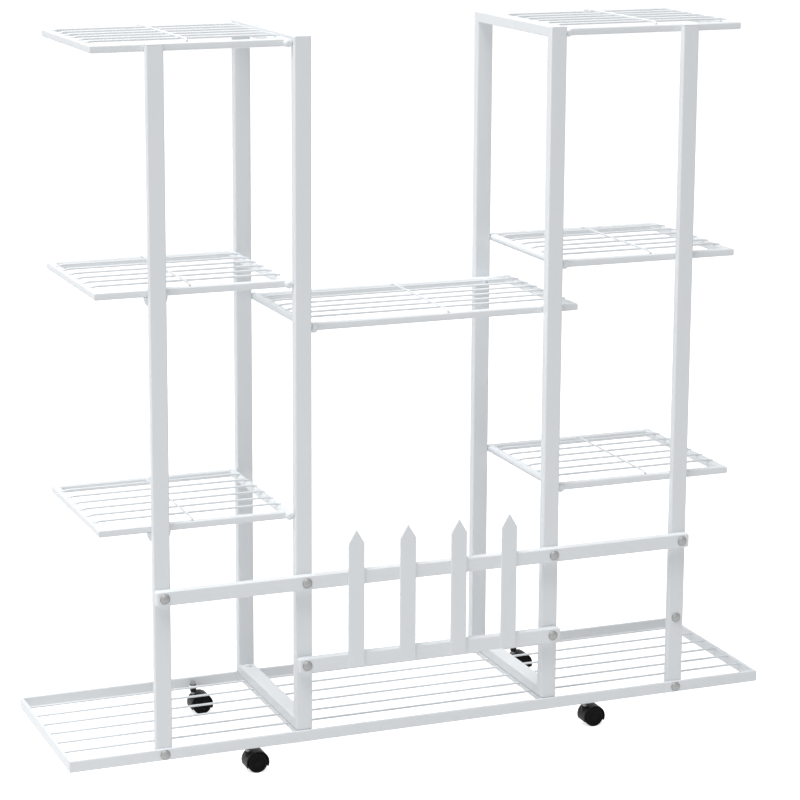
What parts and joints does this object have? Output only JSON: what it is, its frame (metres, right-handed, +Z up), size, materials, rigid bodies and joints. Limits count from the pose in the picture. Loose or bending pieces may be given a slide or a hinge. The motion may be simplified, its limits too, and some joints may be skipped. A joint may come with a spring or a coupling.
{
  "type": "tiered plant stand",
  "caption": "Free-standing white metal plant stand: wire-grid base on swivel casters, two tall loop frames with outer posts, staggered wire shelves and a low picket fence.",
  "frame": {"origin": "on the floor, below the middle of the base", "axes": "+X along the stand to the right as seen from the fence, +Y from the fence to the back, +Z up"},
  "size_m": [0.946, 0.2563, 0.918],
  "materials": {
    "white_paint": "satin powder coat",
    "white_plastic": "satin",
    "zinc": "bright zinc plate",
    "black_plastic": "satin moulded",
    "black_wheel": "matte moulded"
  },
  "bodies": {
    "frame": {"base_back_rail": "white_paint", "base_cross_bars": "white_paint", "base_front_rail": "white_paint", "base_left_end_bar": "white_paint", "base_right_end_bar": "white_paint", "base_wires": "white_paint", "caster_bosses": "white_paint", "caster_sockets": "black_plastic", "fence_lower_rail": "white_paint", "fence_pickets": "white_paint", "fence_rail_caps": "white_plastic", "fence_upper_rail": "white_paint", "left_loop_back_post": "white_paint", "left_loop_bottom_rail": "white_paint", "left_loop_front_post": "white_paint", "left_loop_top_rail": "white_paint", "left_lower_shelf_frame": "white_paint", "left_lower_shelf_wires": "white_paint", "left_outer_post": "white_paint", "left_top_shelf_frame": "white_paint", "left_top_shelf_wires": "white_paint", "left_upper_shelf_frame": "white_paint", "left_upper_shelf_wires": "white_paint", "loop_foot_bolts": "white_paint", "middle_shelf_frame": "white_paint", "middle_shelf_wires": "white_paint", "post_bolts": "zinc", "post_caps": "white_plastic", "post_nuts": "zinc", "right_loop_back_post": "white_paint", "right_loop_bottom_rail": "white_paint", "right_loop_front_post": "white_paint", "right_loop_top_rail": "white_paint", "right_lower_shelf_frame": "white_paint", "right_lower_shelf_wires": "white_paint", "right_outer_post": "white_paint", "right_top_shelf_frame": "white_paint", "right_top_shelf_wires": "white_paint", "right_upper_shelf_frame": "white_paint", "right_upper_shelf_wires": "white_paint", "shelf_screws": "white_paint", "shelf_studs": "white_paint"},
    "front_left_swivel": {"front_left_caster_stem": "zinc", "front_left_caster_hood": "black_plastic"},
    "front_left_rollers": {"front_left_caster_axle": "zinc", "front_left_caster_wheels": "black_wheel"},
    "front_right_swivel": {"front_right_caster_stem": "zinc", "front_right_caster_hood": "black_plastic"},
    "front_right_rollers": {"front_right_caster_axle": "zinc", "front_right_caster_wheels": "black_wheel"},
    "back_left_swivel": {"back_left_caster_stem": "zinc", "back_left_caster_hood": "black_plastic"},
    "back_left_rollers": {"back_left_caster_axle": "zinc", "back_left_caster_wheels": "black_wheel"},
    "back_right_swivel": {"back_right_caster_stem": "zinc", "back_right_caster_hood": "black_plastic"},
    "back_right_rollers": {"back_right_caster_axle": "zinc", "back_right_caster_wheels": "black_wheel"}
  },
  "joints": [
    {"name": "front_left_swivel_turn", "type": "hinge", "parent": "frame", "child": "front_left_swivel", "pos_m": [-0.241, -0.1125, 0.038], "axis": [0, 0, 1], "continuous": true},
    {"name": "front_left_wheel_roll", "type": "hinge", "parent": "front_left_swivel", "child": "front_left_rollers", "pos_m": [-0.2315, -0.1125, 0.013], "axis": [0, 1, 0], "continuous": true},
    {"name": "front_right_swivel_turn", "type": "hinge", "parent": "frame", "child": "front_right_swivel", "pos_m": [0.224, -0.1125, 0.038], "axis": [0, 0, 1], "continuous": true},
    {"name": "front_right_wheel_roll", "type": "hinge", "parent": "front_right_swivel", "child": "front_right_rollers", "pos_m": [0.2335, -0.1125, 0.013], "axis": [0, 1, 0], "continuous": true},
    {"name": "back_left_swivel_turn", "type": "hinge", "parent": "frame", "child": "back_left_swivel", "pos_m": [-0.241, 0.1125, 0.038], "axis": [0, 0, 1], "continuous": true},
    {"name": "back_left_wheel_roll", "type": "hinge", "parent": "back_left_swivel", "child": "back_left_rollers", "pos_m": [-0.2315, 0.1125, 0.013], "axis": [0, 1, 0], "continuous": true},
    {"name": "back_right_swivel_turn", "type": "hinge", "parent": "frame", "child": "back_right_swivel", "pos_m": [0.224, 0.1125, 0.038], "axis": [0, 0, 1], "continuous": true},
    {"name": "back_right_wheel_roll", "type": "hinge", "parent": "back_right_swivel", "child": "back_right_rollers", "pos_m": [0.2335, 0.1125, 0.013], "axis": [0, 1, 0], "continuous": true}
  ]
}
